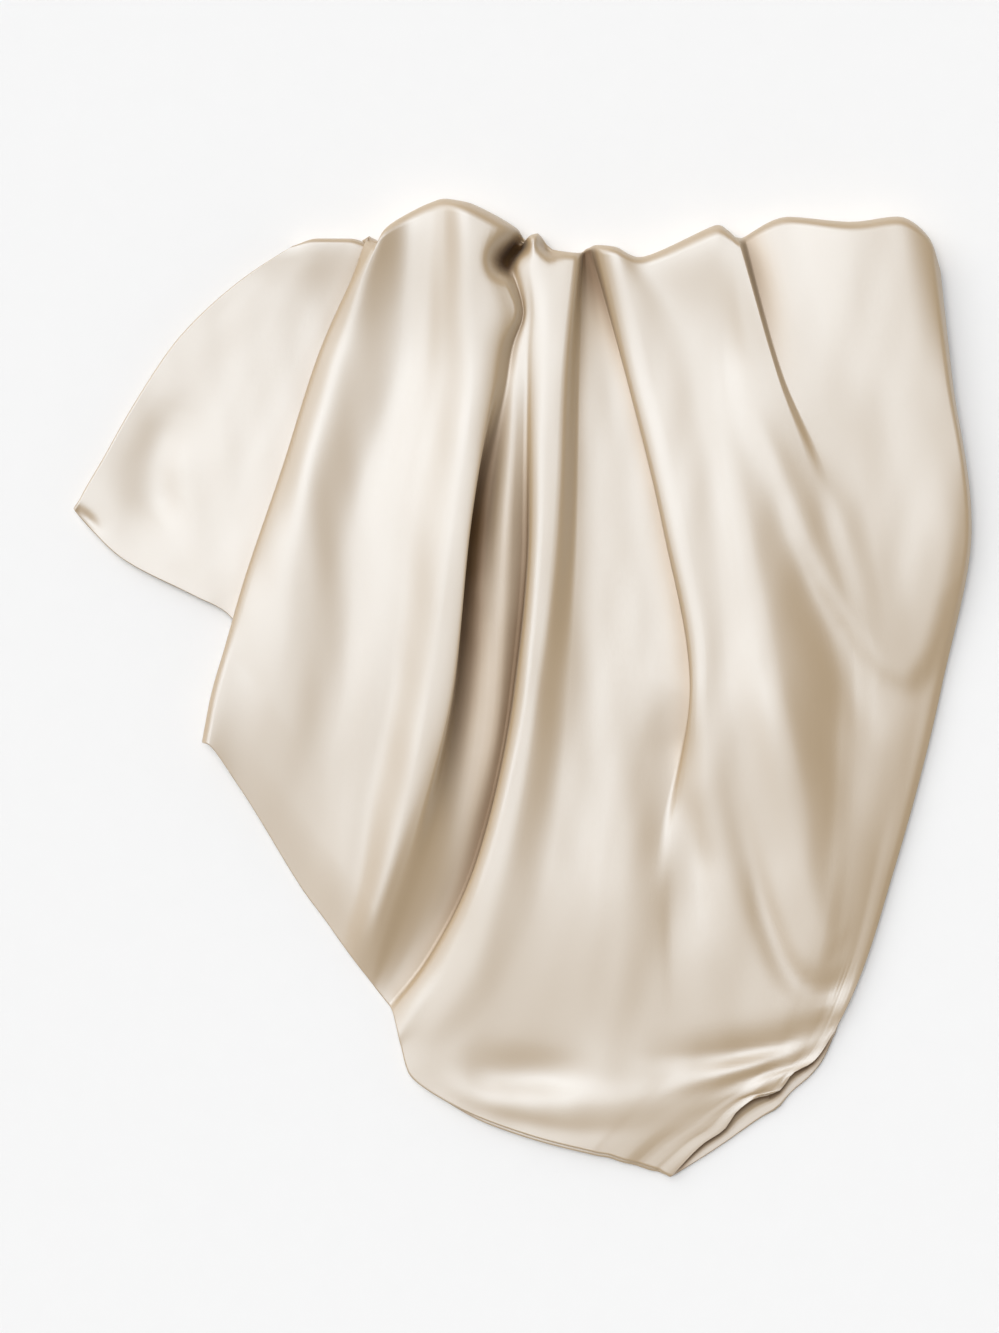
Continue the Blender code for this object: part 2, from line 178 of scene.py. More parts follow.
SEAM_FLAT = 4.0           # how far it reaches past the front where it lies at that height
LEAST_HEIGHTS = (1.5, 1.0, 0.1)    # of the front's inner face and of the back's two faces

# Soft ridges, and troughs with a minus height, that cross the grid of fold lines. Left and right are
# their widths on either side of the path, as seen along it, and ends the shares of it that they fade over.
CREASES = (
    Crease("side_dip", "flap", ((-192, 172), (-206, 146), (-213, 124), (-210, 104), (-196, 88)), 12, 12,
           (0.3, 0.3), -1.5),
    Crease("side_tip", "flap", ((-258, 102), (-250, 95), (-241, 88)), 4, 4, (0.3, 0.5), -1.6),
    Crease("flap_rim", "main", ((124, 176), (134, 150), (146, 124), (157, 97), (169, 68), (184, 42),
                                (200, 19)), 6, 7, (0.4, 0.5), 0.8),
    Crease("trough_dip", "main", ((150, 84), (164, 48), (180, 12), (192, -14), (206, -36)), 12, 14,
           (0.4, 0.4), -1.2),
    Crease("lower_ridge", "main", ((126, 40), (136, 0), (147, -50), (156, -92), (164, -122), (174, -146),
                                   (180, -152)), 10, 9, (0.25, 0.15), 0.6),
    Crease("lower_trough", "main", ((112, -20), (116, -45), (121, -70), (129, -100), (134, -120),
                                    (141, -141), (147, -157), (157, -170), (170, -175), (182, -169),
                                    (189, -158)), 7, 7, (0.5, 0.2), -2.1),
    Crease("panel_smudge", "main", ((91, 4), (86, -28), (85, -55), (91, -82), (97, -107), (96, -134),
                                    (93, -155), (90, -182)), 12, 22, (0.2, 0.6), -3.1),
    Crease("hem_hollow", "main", ((-42, -214), (-12, -222), (14, -222), (46, -216)), 14, 11,
           (0.4, 0.4), -1.8),
    Crease("hem_trough", "main", ((52, -212), (88, -213), (120, -211), (146, -208), (168, -202),
                                  (184, -195)), 9.5, 6, (0.5, 0.08), -2.4),
    Crease("hem_roll", "main", ((-55, -226), (-30, -235), (0, -238), (40, -239), (80, -235),
                                (112, -226)), 9, 12, (0.3, 0.4), 1.0),
    Crease("hem_dip", "main", ((-60, -222), (-40, -236), (-20, -245), (0, -250), (30, -255), (60, -254),
                               (85, -248)), 5, 5, (0.3, 0.5), -0.4),
    Crease("hood_pit", "main", ((2, 255), (-4, 252), (-9, 248), (-12.5, 243), (-13, 236), (-11, 228)),
           5, 4.5, (0.12, 0.4), -15),
    Crease("hood_line", "main", ((-12, 232), (-11, 224), (-7.5, 214), (-7, 205), (-9.5, 192), (-12, 178),
                                 (-15, 165)), 3.2, 3.2, (0.2, 0.3), -0.7),
    Crease("curl_pit", "main", ((9, 254), (13, 250), (18, 247)), 2.8, 2.8, (0.3, 0.3), -14),
    Crease("seam_ridge", "main", ((183, -197), (150, -209.5), (120, -219.5), (95, -227), (72, -233)),
           4.5, 4.5, (0.05, 0.6), 1.3),
    Crease("seam_trough", "main", ((180, -204), (150, -217), (135, -222), (120, -227.5), (98, -237)),
           3.4, 3.4, (0.2, 0.6), -1.0),
    Crease("seam_pleat", "main", ((153, -223), (137, -229), (120, -234)), 3, 3, (0.1, 0.6), 0.8),
    Crease("seam_tuck", "main", ((184, -196), (170, -191), (158, -189.5)), 2.6, 2.6, (0.1, 0.6), -0.8),
)
# The open seam between the mouth's side and the lowest corner: how far the front and the back cloth
# reach past a straight line from one to the other, at shares of its length, and the front's lift.
SEAM = (
    Seam("side_end", 0.00, 0.0, 0.0, 1.0),
    Seam("first_bulge", 0.16, 4.7, 0.3, 8.6),
    Seam("first_bite", 0.27, 1.8, 0.9, 9.6),
    Seam("second_bulge", 0.36, 4.2, 0.3, 9.6),
    Seam("second_bite", 0.46, -2.0, 1.0, 9.0),
    Seam("third_bite", 0.57, -3.0, 0.6, 8.0),
    Seam("third_bulge", 0.68, 0.0, 0.2, 6.6),
    Seam("last_bite", 0.80, -2.0, 0.4, 4.6),
    Seam("low_end", 1.00, 0.0, 0.0, 0.4),
)
# Pulls in the plane of the cloth: everything near a place is moved, most at the place itself.
PULLS = (
    Pull("hood_in", (-9, 242), 13, (-8.5, 0)),
    Pull("hood_out", (-12.5, 212), 12, (6, 0)),
)
# Parts that lie over the rest: raised on the left of the path, with an edge of the width given, in
# full below the low line and not at all above the high one.
LAPS = (
    Lap("flap", ((118, 176), (130, 150), (141, 126), (152, 98), (164, 68), (178, 42), (193, 20),
                 (206, 6), (219, 1), (231, 12), (240, 37), (246, 62), (249, 90), (251, 120),
                 (252, 180)), 16, 1.6, 40, 150),
)


# ---------------------------------------------------------------------------- the shape of the folds

def pchip(knots, values, at):
    """Read values at places between the knots on a smooth curve that never overshoots them."""
    knots = np.asarray(knots, float)
    values = np.asarray(values, float)
    column = (-1,) + (1,) * (values.ndim - 1)
    step = np.diff(knots)
    slope = np.diff(values, axis=0) / step.reshape(column)
    before = (2 * step[1:] + step[:-1]).reshape(column)
    after = (step[1:] + 2 * step[:-1]).reshape(column)
    same_way = slope[:-1] * slope[1:] > 0
    low = np.where(same_way, slope[:-1], 1.0)
    high = np.where(same_way, slope[1:], 1.0)
    inner = np.where(same_way, (before + after) / (before / low + after / high), 0.0)
    rate = np.concatenate([slope[:1], inner, slope[-1:]])
    cell = np.clip(np.searchsorted(knots, at, side="right") - 1, 0, len(step) - 1)
    width = step[cell].reshape(column)
    t = (at - knots[cell]).reshape(column) / width
    return ((1 + 2 * t) * (1 - t) ** 2 * values[cell] + t * (1 - t) ** 2 * width * rate[cell]
            + t * t * (3 - 2 * t) * values[cell + 1] + t * t * (t - 1) * width * rate[cell + 1])


def unit(vectors):
    return vectors / np.maximum(np.linalg.norm(vectors, axis=-1, keepdims=True), 1e-9)


def smooth_step(value):
    t = np.clip(value, 0.0, 1.0)
    return t * t * (3 - 2 * t)


def fold_columns():
    """The fold lines as columns of points, each hairpin as three columns round its bend."""
    columns = []
    cells = []
    for line in FOLD_LINES:
        points = np.array(line[3:], float)
        if not line.bend:
            columns.append(points)
            cells.append(line.cells)
            continue
        run = unit(np.gradient(points[:, :2], axis=0))
        inward = np.stack([-run[:, 1], run[:, 0], np.zeros(len(run))], axis=1) * np.sign(line.bend)
        rise = np.array([0.0, 0.0, abs(line.bend)])
        lower = inward * abs(line.bend)
        upper = lower.copy()
        lower[0] *= -np.sign(line.bend)
        upper[0] *= np.sign(line.bend)
        columns.extend((points + lower - rise, points, points + upper + rise))
        cells.extend((line.cells, line.cells, line.cells))
    return columns, cells


def cloth_net():
    """Every column with its turned-under end, its turn at the head edge and its shoulder."""
    columns, cells = fold_columns()
    first = columns[0][0, 0]
    last = columns[-1][0, 0]
    net = []
    for points in columns:
        top = points[0]
        share = (top[0] - first) / (last - first)
        end = np.array(BACK_FIRST) + share * (np.array(BACK_LAST) - np.array(BACK_FIRST))
        radius = top[2] / 2
        roll = []
        for angle in np.radians(ROLL_ANGLES):
            toward = points[1, :2] - top[:2] if angle > 0 else np.array([0.0, -1.0])
            inward = unit(toward) * radius * (1 - np.cos(angle)) * ROLL_DEPTH
            roll.append(np.append(top[:2] + inward, radius * (1 + np.sin(angle))))
        net.append(np.vstack([end, roll, points[1:]]))
    return np.array(net), cells


def ladder(knots, gaps, step, least):
    """The knots with even rungs between them, about one step apart, and at least the number given."""
    rungs = []
    for low, high, gap, fewest in zip(knots[:-1], knots[1:], gaps, least):
        count = max(fewest, int(round(gap / step)))
        rungs.extend(low + (high - low) * np.arange(count) / count)
    return np.array(rungs + [knots[-1]])


def edged(rungs):
    """The rungs with one more just inside each end, so that the rounding of the rim stays narrow."""
    inside = 0.75 * rungs[[0, -1]] + 0.25 * rungs[[1, -2]]
    return np.concatenate([rungs[:1], inside[:1], rungs[1:-1], inside[1:], rungs[-1:]])


def beside(place, path, reach):
    """Where each place near a path lies: which are near, how far off, on which side and how far along."""
    path = np.array(path, float)
    line = pchip(np.linspace(0, 1, len(path)), path, np.linspace(0, 1, 81))
    along = np.gradient(line, axis=0)
    near = np.all((place > line.min(axis=0) - reach) & (place < line.max(axis=0) + reach), axis=-1)
    away = place[near][:, None, :] - line
    gaps = np.linalg.norm(away, axis=-1)
    nearest = gaps.argmin(axis=-1)
    rows = np.arange(len(nearest))
    offset = away[rows, nearest]
    heading = unit(along[nearest])
    left = heading[:, 0] * offset[:, 1] - heading[:, 1] * offset[:, 0]
    return near, gaps[rows, nearest], left > 0, nearest / 80.0


def crease_shape(place, crease):
    """How high each place stands on a crease: full on its path, fading to its sides and ends."""
    shape = np.zeros(place.shape[:-1])
    near, gap, on_left, share = beside(place, crease.path, 3 * max(crease.left, crease.right))
    width = np.where(on_left, crease.left, crease.right)
    fade = smooth_step(share / crease.ends[0]) * smooth_step((1 - share) / crease.ends[1])
    shape[near] = fade * np.exp(-(gap / width) ** 2)
    return shape * crease.height


def lap_shape(place, lap):
    """How high each place stands on a part that lies over the rest."""
    shape = np.zeros(place.shape[:-1])
    near, gap, on_left, _ = beside(place, lap.path, 60)
    rise = smooth_step(0.5 + np.where(on_left, gap, -gap) / lap.edge)
    shape[near] = rise * (1 - smooth_step((place[near][:, 1] - lap.low) / (lap.high - lap.low)))
    return shape * lap.height


def rest_height(place, ply):
    """The lowest that the outer face may lie: on the surface, or on the cloth turned under."""
    start = np.array(FOLD_LINES[0].top[:2], float) - (0, TUCK_MARGIN)
    end = np.array(BACK_FIRST[:2], float)
    side = unit(end - start)
    inside = (place[..., 0] - start[0]) * -side[1] + (place[..., 1] - start[1]) * side[0]
    return ply + (ply + TUCK_GAP) * smooth_step(0.5 + inside / TUCK_MARGIN)


def evened(grid, across=True):
    """The grid with each inner point drawn toward its neighbours along the folds, and across them."""
    grid = grid.copy()
    grid[:, 1:-1] = (grid[:, :-2] + 2 * grid[:, 1:-1] + grid[:, 2:]) / 4
    if across:
        grid[1:-1] = (grid[:-2] + 2 * grid[1:-1] + grid[2:]) / 4
    return grid


def waviness(place):
    """Faint long waves over the cloth, in mm, as soft cloth never lies quite true."""
    draw = np.random.default_rng(11)
    total = np.zeros(place.shape[:-1])
    for _ in range(14):
        short = draw.uniform(18, 48)
        long = draw.uniform(60, 170) * draw.choice((-1, 1))
        phase = draw.uniform(0, 2 * np.pi)
        total += np.sin(2 * np.pi * (place[..., 0] / short + place[..., 1] / long) + phase) * short
    return total * WAVINESS


def cloth_face(across_step, along_step, ply):
    """The outer face of the front cloth as a grid of points in mm, with its shares across and along."""
    net, cells = cloth_net()
    shares = np.array(STATION_SHARES)
    widths = np.linalg.norm(np.diff(net[:, FRONT:], axis=0), axis=2)
    knots = np.concatenate([[0.0], np.cumsum(widths.mean(axis=1) ** SPACING)])
    lengths = np.linalg.norm(np.diff(net, axis=1), axis=2).mean(axis=0) * FINER
    across = edged(ladder(knots, widths.max(axis=1), across_step, cells))
    along = edged(ladder(shares, lengths, along_step, [2] * len(lengths)))
    runs = pchip(shares[1:], net[:, 1:].transpose(1, 0, 2), along)
    flat = np.clip(along / shares[1], 0, 1)[:, None, None]
    runs = np.where(flat < 1, net[:, 0] + (net[:, 1] - net[:, 0]) * flat, runs)
    face = pchip(knots, runs.transpose(1, 0, 2), across)
    shown = along > shares[FRONT]
    soft = evened(face, across=False)
    face[:, shown] = soft[:, shown]
    showing = smooth_step((along - shares[TURN]) / (shares[FRONT] - shares[TURN]))
    main = across >= knots[LINE_NAMES.index("fold_edge") + 2]
    for pull in PULLS:
        away = np.linalg.norm(face[..., :2] - pull.at, axis=-1) / pull.reach
        face[..., :2] += (np.exp(-away ** 2) * showing)[..., None] * pull.move
    rises = np.zeros(face.shape[:2])
    for crease in CREASES:
        on_side = main if crease.side == "main" else ~main
        rises += crease_shape(face[..., :2], crease) * on_side[:, None]
    for lap in LAPS:
        rises += lap_shape(face[..., :2], lap) * main[:, None]
    face[..., 2] += evened(rises) * showing
    face[..., 2] += waviness(face[..., :2]) * showing
    lowest = rest_height(face[..., :2], ply)
    shown = along >= shares[FRONT]
    face[:, shown, 2] = np.maximum(face[:, shown, 2], lowest[:, shown])
    return face, across / across[-1], along, main


def blurred(image, reach):
    """An even map softened over the reach given, in cells."""
    steps = np.arange(-3 * reach, 3 * reach + 1)
    kernel = np.exp(-(steps / reach) ** 2 / 2)
    for axis in (0, 1):
        image = np.apply_along_axis(np.convolve, axis, image, kernel / kernel.sum(), "same")
    return image


def fold_depth(face, along):
    """How deep each point lies in its fold, from 0 in the open to 2 in a pit: the mask of the shade painted
    into the satin where folds shade each other.
    """
    shown = along >= STATION_SHARES[TURN]
    cell = np.floor((face[..., :2] - face[..., :2].min(axis=(0, 1))) / MAP_CELL).astype(int) + MAP_MARGIN
    count = np.zeros(cell.max(axis=(0, 1)) + MAP_MARGIN + 1)
    height = np.zeros_like(count)
    spots = cell[:, shown].reshape(-1, 2).T
    np.add.at(count, tuple(spots), 1.0)
    np.add.at(height, tuple(spots), face[:, shown, 2].ravel())
    held = (count > 0).astype(float)
    around = blurred(height / np.maximum(count, 1), MAP_REACH) / np.maximum(blurred(held, MAP_REACH), 1e-3)
    below = (around[cell[..., 0], cell[..., 1]] - face[..., 2] - DEPTH_START) / DEEP
    depth = smooth_step(below) + smooth_step(below - 1)
    for _ in range(3):
        depth = evened(depth)
    side = np.linalg.norm(face[..., :2] - face[-1:, :, :2], axis=-1)
    hem = np.linalg.norm(face[..., :2] - face[:, -1:, :2], axis=-1)
    depth = depth * smooth_step(side / EDGE_LIGHT) * smooth_step(hem / EDGE_LIGHT)
    return depth * smooth_step((along - STATION_SHARES[FRONT - 1]) / HEAD_LIGHT)


def face_normals(face):
    """Outward direction at each point of the grid, longer where the cloth bends sharply."""
    side = face[1:] - face[:-1]
    run = face[:, 1:] - face[:, :-1]
    cells = unit(np.cross((run[1:] + run[:-1]), (side[:, 1:] + side[:, :-1])))
    total = np.zeros_like(face)
    for i in (0, 1):
        for j in (0, 1):
            total[i:face.shape[0] - 1 + i, j:face.shape[1] - 1 + j] += cells
    normals = unit(total)
    for _ in range(2):
        normals[:, 1:-1] = unit(normals[:, :-2] + 2 * normals[:, 1:-1] + normals[:, 2:])
    least = np.ones(face.shape[:2])
    for i in (0, 1):
        for j in (0, 1):
            part = normals[i:face.shape[0] - 1 + i, j:face.shape[1] - 1 + j]
            lean = (part * cells).sum(axis=-1)
            view = least[i:face.shape[0] - 1 + i, j:face.shape[1] - 1 + j]
            np.minimum(view, lean, out=view)
    return normals / np.clip(least, MITRE, 1.0)[..., None]


def open_seam(face, along):
    """Shape the front's edge at the open seam, and say how the back's edge lies past it."""
    part = along >= STATION_SHARES[-2]
    start = np.array(FOLD_LINES[-1].foot[:2], float)
    chord = np.array(FOLD_LINES[-1].hem[:2], float) - start
    outward = unit(np.array([-chord[1], chord[0]])) * np.sign(-chord[0])
    edge = face[-1, part, :2] - start
    share = np.clip(edge @ chord / (chord @ chord), 0, 1)
    knots = [row.share for row in SEAM]
    front = pchip(knots, [row.front for row in SEAM], share)
    back = pchip(knots, [row.back for row in SEAM], share)
    lift = pchip(knots, [row.lift for row in SEAM], share)
    shift = front - edge @ outward
    depth = np.linalg.norm(face[..., :2] - face[-1:, :, :2], axis=-1)[:, part]
    near = np.arange(face.shape[0])[:, None] > face.shape[0] // 2
    wide = np.clip(1 - depth / SEAM_PULL, 0, 1) ** 2 * near
    close = np.clip(1 - depth / SEAM_LIFT, 0, 1) ** 2 * near
    face[:, part, :2] += (wide * shift)[..., None] * outward
    face[:, part, 2] += close * lift
    return part, outward, back - front


# ---------------------------------------------------------------------------- meshes and materials

def closed_sheet(name, outer, inner, across, along, depth):
    """A closed sheet with rounded edges between two grids of points in mm.

    Its flat cut is its UV map, and how deep it lies in its folds, the mask of its painted shade, is an
    attribute.
    """
    rows, cols = outer.shape[:2]
    ring = [(i, 0) for i in range(rows)] + [(rows - 1, j) for j in range(1, cols)]
    ring += [(i, cols - 1) for i in range(rows - 2, -1, -1)] + [(0, j) for j in range(cols - 2, 0, -1)]
    middle = []
    for i, j in ring:
        k = min(max(i, 1), rows - 2)
        l = min(max(j, 1), cols - 2)
        outward = unit(outer[i, j] + inner[i, j] - outer[k, l] - inner[k, l])
        reach = np.linalg.norm(outer[i, j] - inner[i, j]) / 2
        middle.append((outer[i, j] + inner[i, j]) / 2 + outward * reach)
    points = np.vstack([outer.reshape(-1, 3), inner.reshape(-1, 3), np.array(middle)]) * MM
    index = np.arange(rows * cols).reshape(rows, cols)
    quads = np.stack([index[:-1, :-1], index[1:, :-1], index[1:, 1:], index[:-1, 1:]], axis=-1)
    upper = quads.reshape(-1, 4)
    under = upper[:, ::-1] + rows * cols
    rim = []
    for n, (i, j) in enumerate(ring):
        k, l = ring[(n + 1) % len(ring)]
        here, there = 2 * rows * cols + n, 2 * rows * cols + (n + 1) % len(ring)
        rim.append((index[i, j], here, there, index[k, l]))
        rim.append((here, index[i, j] + rows * cols, index[k, l] + rows * cols, there))
    faces = np.vstack([upper, under, np.array(rim)])
    mesh = bpy.data.meshes.new(name)
    mesh.from_pydata(points.tolist(), [], faces.tolist())
    uv = np.stack(np.meshgrid(across, along, indexing="ij"), axis=-1).reshape(-1, 2)
    edge = np.array([uv[index[i, j]] for i, j in ring])
    uv = np.vstack([uv, uv, edge])
    layer = mesh.uv_layers.new(name="flat_cut")
    corners = np.empty(len(mesh.loops), dtype=np.int32)
    mesh.loops.foreach_get("vertex_index", corners)
    layer.data.foreach_set("uv", uv[corners].ravel())
    # The attribute is the mask of the painted fold shade: how deep each point lies in its folds.
    rim_depth = np.array([depth[i, j] for i, j in ring])
    deep = mesh.attributes.new("fold_depth", "FLOAT", "POINT")
    deep.data.foreach_set("value", np.concatenate([depth.ravel(), depth.ravel(), rim_depth]))
    mesh.update()
    thing = bpy.data.objects.new(name, mesh)
    bpy.context.scene.collection.objects.link(thing)
    for other in bpy.context.selected_objects:
        other.select_set(False)
    thing.select_set(True)
    bpy.context.view_layer.objects.active = thing
    bpy.ops.object.mode_set(mode="EDIT")
    bpy.ops.mesh.select_all(action="SELECT")
    bpy.ops.mesh.normals_make_consistent(inside=False)
    bpy.ops.object.mode_set(mode="OBJECT")
    bpy.ops.object.shade_smooth()
    thing.select_set(False)
    return thing


class Value:
    """A number that varies over the surface, with the sums that a material is written in."""

    def __init__(self, maker, socket):
        self.maker = maker
        self.socket = socket

    def sum(self, operation, *others):
        values = dict(enumerate((self, *others)))
        return self.maker.node("ShaderNodeMath", {"operation": operation}, values)

    def __add__(self, other):
        return self.sum("ADD", other)

    __radd__ = __add__

    def __mul__(self, other):
        return self.sum("MULTIPLY", other)

    __rmul__ = __mul__

    def __sub__(self, other):
        return self.sum("SUBTRACT", other)

    def __rsub__(self, other):
        return (self * -1.0) + other


class Nodes:
    """The nodes of a new material or of the light all round, and the one way in which they are added."""

    def __init__(self, owner):
        self.owner = owner
        owner.use_nodes = True
        self.tree = owner.node_tree
        self.tree.nodes.clear()

    def node(self, kind, settings=None, values=None, output=0):
        node = self.tree.nodes.new(kind)
        for name, value in (settings or {}).items():
            setattr(node, name, value)
        for name, value in (values or {}).items():
            socket = node.inputs[name]
            if isinstance(value, Value):
                self.tree.links.new(value.socket, socket)
            else:
                socket.default_value = value
        return Value(self, node.outputs[output]) if node.outputs else node


def satin(settings):
    """Satin: a close smooth weave with a broad soft shine, a little uneven in tone, with shade painted into
    it deep in its folds.
    """
    skin = Nodes(bpy.data.materials.new("champagne_satin"))
    flat = skin.node("ShaderNodeUVMap", {"uv_map": "flat_cut"})
    tint = (*settings.satin_colour, 1.0)
    pale = (*settings.pale_colour, 1.0)
    threads = skin.node("ShaderNodeMapping", values={"Vector": flat, "Scale": (1500.0, 260.0, 1.0)})
    thread = skin.node("ShaderNodeTexNoise", values={"Vector": threads, "Scale": 1.0, "Detail": 2.0})
    runs = skin.node("ShaderNodeMapping", values={"Vector": flat, "Scale": (90.0, 9.0, 1.0)})
    run = skin.node("ShaderNodeTexNoise", values={"Vector": runs, "Scale": 1.0, "Detail": 3.0})
    clouds = skin.node("ShaderNodeMapping", values={"Vector": flat, "Scale": (9.0, 9.0, 1.0)})
    cloud = skin.node("ShaderNodeTexNoise", values={"Vector": clouds, "Scale": 1.0, "Detail": 2.0})
    paleness = (run * 0.5 + cloud * 0.5) * settings.unevenness
    # Painted shade: by the depth attribute the satin's colour is darkened toward the painted fold shade,
    # and in pits toward the painted pit shade.
    depth = skin.node("ShaderNodeAttribute", {"attribute_name": "fold_depth"}, output=2)
    deep = (*settings.painted_fold_shade_colour, 1.0)
    pit = (*settings.painted_pit_shade_colour, 1.0)
    tone = tint
    for share, colour in ((paleness, pale), (depth * 0.9, deep), ((depth - 1.0) * 0.7, pit)):
        tone = skin.node("ShaderNodeMix", {"data_type": "RGBA"}, {0: share, 6: tone, 7: colour}, output=2)
    # Painted shade: deep in the folds the satin turns partly metallic, so that its shine takes the dark
    # painted shade colour; it is rougher there too.
    painted_shade_metallic = skin.node("ShaderNodeMath", {"operation": "MULTIPLY", "use_clamp": True}, {0: depth, 1: 0.75})
    rough = depth * 0.25 + (run - 0.5) * 0.06 + (thread - 0.5) * 0.04 + settings.roughness
    bump = skin.node("ShaderNodeBump", values={"Height": thread, "Strength": settings.weave_strength,
                                               "Distance": 0.0001})
    shader = skin.node("ShaderNodeBsdfPrincipled", values={
        "Base Color": tone, "Roughness": rough, "Normal": bump, "IOR": settings.gloss_ior,
        "Specular IOR Level": settings.gloss, "Metallic": painted_shade_metallic,
        "Specular Tint": (*settings.shine_colour, 1.0), "Sheen Weight": settings.sheen,
        "Sheen Roughness": 0.5, "Sheen Tint": (1.0, 0.95, 0.88, 1.0)})
    skin.node("ShaderNodeOutputMaterial", values={"Surface": shader})
    return skin.owner


def paper(settings):
    """The pale matt surface beneath."""
    skin = Nodes(bpy.data.materials.new("pale_paper"))
    place = skin.node("ShaderNodeTexCoord", output=3)
    grain = skin.node("ShaderNodeTexNoise", values={"Vector": place, "Scale": 60.0, "Detail": 3.0})
    low = (*[c * 0.985 for c in settings.floor_colour], 1.0)
    tone = skin.node("ShaderNodeMix", {"data_type": "RGBA"},
                     {0: grain, 6: low, 7: (*settings.floor_colour, 1.0)}, output=2)
    shader = skin.node("ShaderNodeBsdfPrincipled", values={
        "Base Color": tone, "Roughness": 0.9, "Specular IOR Level": 0.0})
    skin.node("ShaderNodeOutputMaterial", values={"Surface": shader})
    return skin.owner


def studio_light(settings):
    """Soft light from all round, growing stronger from straight above down to the horizon."""
    sky = Nodes(bpy.data.worlds.new("studio"))
    toward = sky.node("ShaderNodeTexCoord")
    height = sky.node("ShaderNodeSeparateXYZ", values={"Vector": toward}, output=2)
    lowness = 1.0 - sky.node("ShaderNodeClamp", values={"Value": height})
    strength = lowness * lowness * lowness * settings.low_strength + settings.fill_strength
    glow = sky.node("ShaderNodeBackground", values={"Color": (1.0, 1.0, 1.0, 1.0), "Strength": strength})
    sky.node("ShaderNodeOutputWorld", values={"Surface": glow})
    return sky.owner


# ---------------------------------------------------------------------------- settings

class ClothSettings(bpy.types.PropertyGroup):
    """Sizes of the cloth."""

    flat_width: bpy.props.FloatProperty(
        name="Flat width", description="Width of each cloth before it is folded", default=0.51,
        unit="LENGTH")
    flat_length: bpy.props.FloatProperty(
        name="Flat length", description="Length of each cloth, from its mouth to its closed end",
        default=0.66, unit="LENGTH")
    thickness: bpy.props.FloatProperty(
        name="Thickness", description="Thickness of one cloth", default=0.0008, unit="LENGTH")
    ply_gap: bpy.props.FloatProperty(
        name="Gap between cloths", description="Air between the front and the back cloth",
        default=0.0005, unit="LENGTH")
    across_step: bpy.props.FloatProperty(
        name="Step across", description="Grid step across the folds", default=0.0038, unit="LENGTH")
    along_step: bpy.props.FloatProperty(
        name="Step along", description="Grid step along the folds", default=0.0031, unit="LENGTH")


class SatinSettings(bpy.types.PropertyGroup):
    """Colour and shine of the satin."""

    satin_colour: bpy.props.FloatVectorProperty(
        name="Satin", description="Colour of the cloth", default=(0.508, 0.348, 0.172),
        subtype="COLOR", size=3)
    pale_colour: bpy.props.FloatVectorProperty(
        name="Paler satin", description="Colour of its paler runs", default=(0.562, 0.403, 0.236),
        subtype="COLOR", size=3)
    # Painted shade: the colours that the satin is darkened toward deep in its folds and in the narrow pits
    # between them.
    painted_fold_shade_colour: bpy.props.FloatVectorProperty(
        name="Deep satin", description="Colour deep in the folds", default=(0.20, 0.115, 0.05),
        subtype="COLOR", size=3)
    painted_pit_shade_colour: bpy.props.FloatVectorProperty(
        name="Pit satin", description="Colour in the narrow pits between folds",
        default=(0.08, 0.045, 0.02), subtype="COLOR", size=3)
    shine_colour: bpy.props.FloatVectorProperty(
        name="Shine", description="Colour of the shine", default=(0.765, 0.885, 1.0),
        subtype="COLOR", size=3)
    unevenness: bpy.props.FloatProperty(
        name="Unevenness", description="How much the paler runs show", default=0.6)
    roughness: bpy.props.FloatProperty(
        name="Roughness", description="How broad the shine is", default=0.43)
    gloss: bpy.props.FloatProperty(
        name="Gloss", description="Strength of the shine", default=1.0)
    gloss_ior: bpy.props.FloatProperty(
        name="Gloss index", description="Refractive index behind the shine", default=2.04)
    sheen: bpy.props.FloatProperty(
        name="Sheen", description="Soft glow at a grazing angle", default=0.1)
    weave_strength: bpy.props.FloatProperty(
        name="Weave", description="Depth of the weave", default=0.12)


class StageSettings(bpy.types.PropertyGroup):
    """Floor, light and camera."""

    floor_colour: bpy.props.FloatVectorProperty(
        name="Floor", description="Colour of the floor", default=(0.93, 0.93, 0.93),
        subtype="COLOR", size=3)
    view_centre: bpy.props.FloatVectorProperty(
        name="View centre", description="Point the camera looks straight down at",
        default=(-0.0141, 0.0111, 0.0), unit="LENGTH", size=3)
    view_length: bpy.props.FloatProperty(
        name="View length", description="Length of floor in view", default=0.765, unit="LENGTH")
    camera_height: bpy.props.FloatProperty(
        name="Camera height", description="Height of the camera", default=2.2, unit="LENGTH")
    key_lean_up: bpy.props.FloatProperty(
        name="Key lean up", description="Lean of the key light toward the head end",
        default=math.radians(6), subtype="ANGLE")
    key_lean_left: bpy.props.FloatProperty(
        name="Key lean left", description="Lean of the key light to the left",
        default=math.radians(6.5), subtype="ANGLE")
    key_size: bpy.props.FloatProperty(
        name="Key size", description="Width of the key light as seen from the cloth",
        default=math.radians(36), subtype="ANGLE")
    key_strength: bpy.props.FloatProperty(
        name="Key", description="Strength of the key light", default=1.70)
    side_lean_up: bpy.props.FloatProperty(
        name="Side lean up", description="Lean of the side light toward the head end",
        default=math.radians(34), subtype="ANGLE")
    side_lean_left: bpy.props.FloatProperty(
        name="Side lean left", description="Lean of the side light to the left",
        default=math.radians(39), subtype="ANGLE")
    side_size: bpy.props.FloatProperty(
        name="Side size", description="Width of the side light as seen from the cloth",
        default=math.radians(60), subtype="ANGLE")
    side_strength: bpy.props.FloatProperty(
        name="Side", description="Strength of the side light", default=1.38)
    fill_strength: bpy.props.FloatProperty(
        name="Fill", description="Strength of the light from all round", default=0.08)
    low_strength: bpy.props.FloatProperty(
        name="Low light", description="Strength of the soft light from low down all round", default=0.95)


# ---------------------------------------------------------------------------- operators

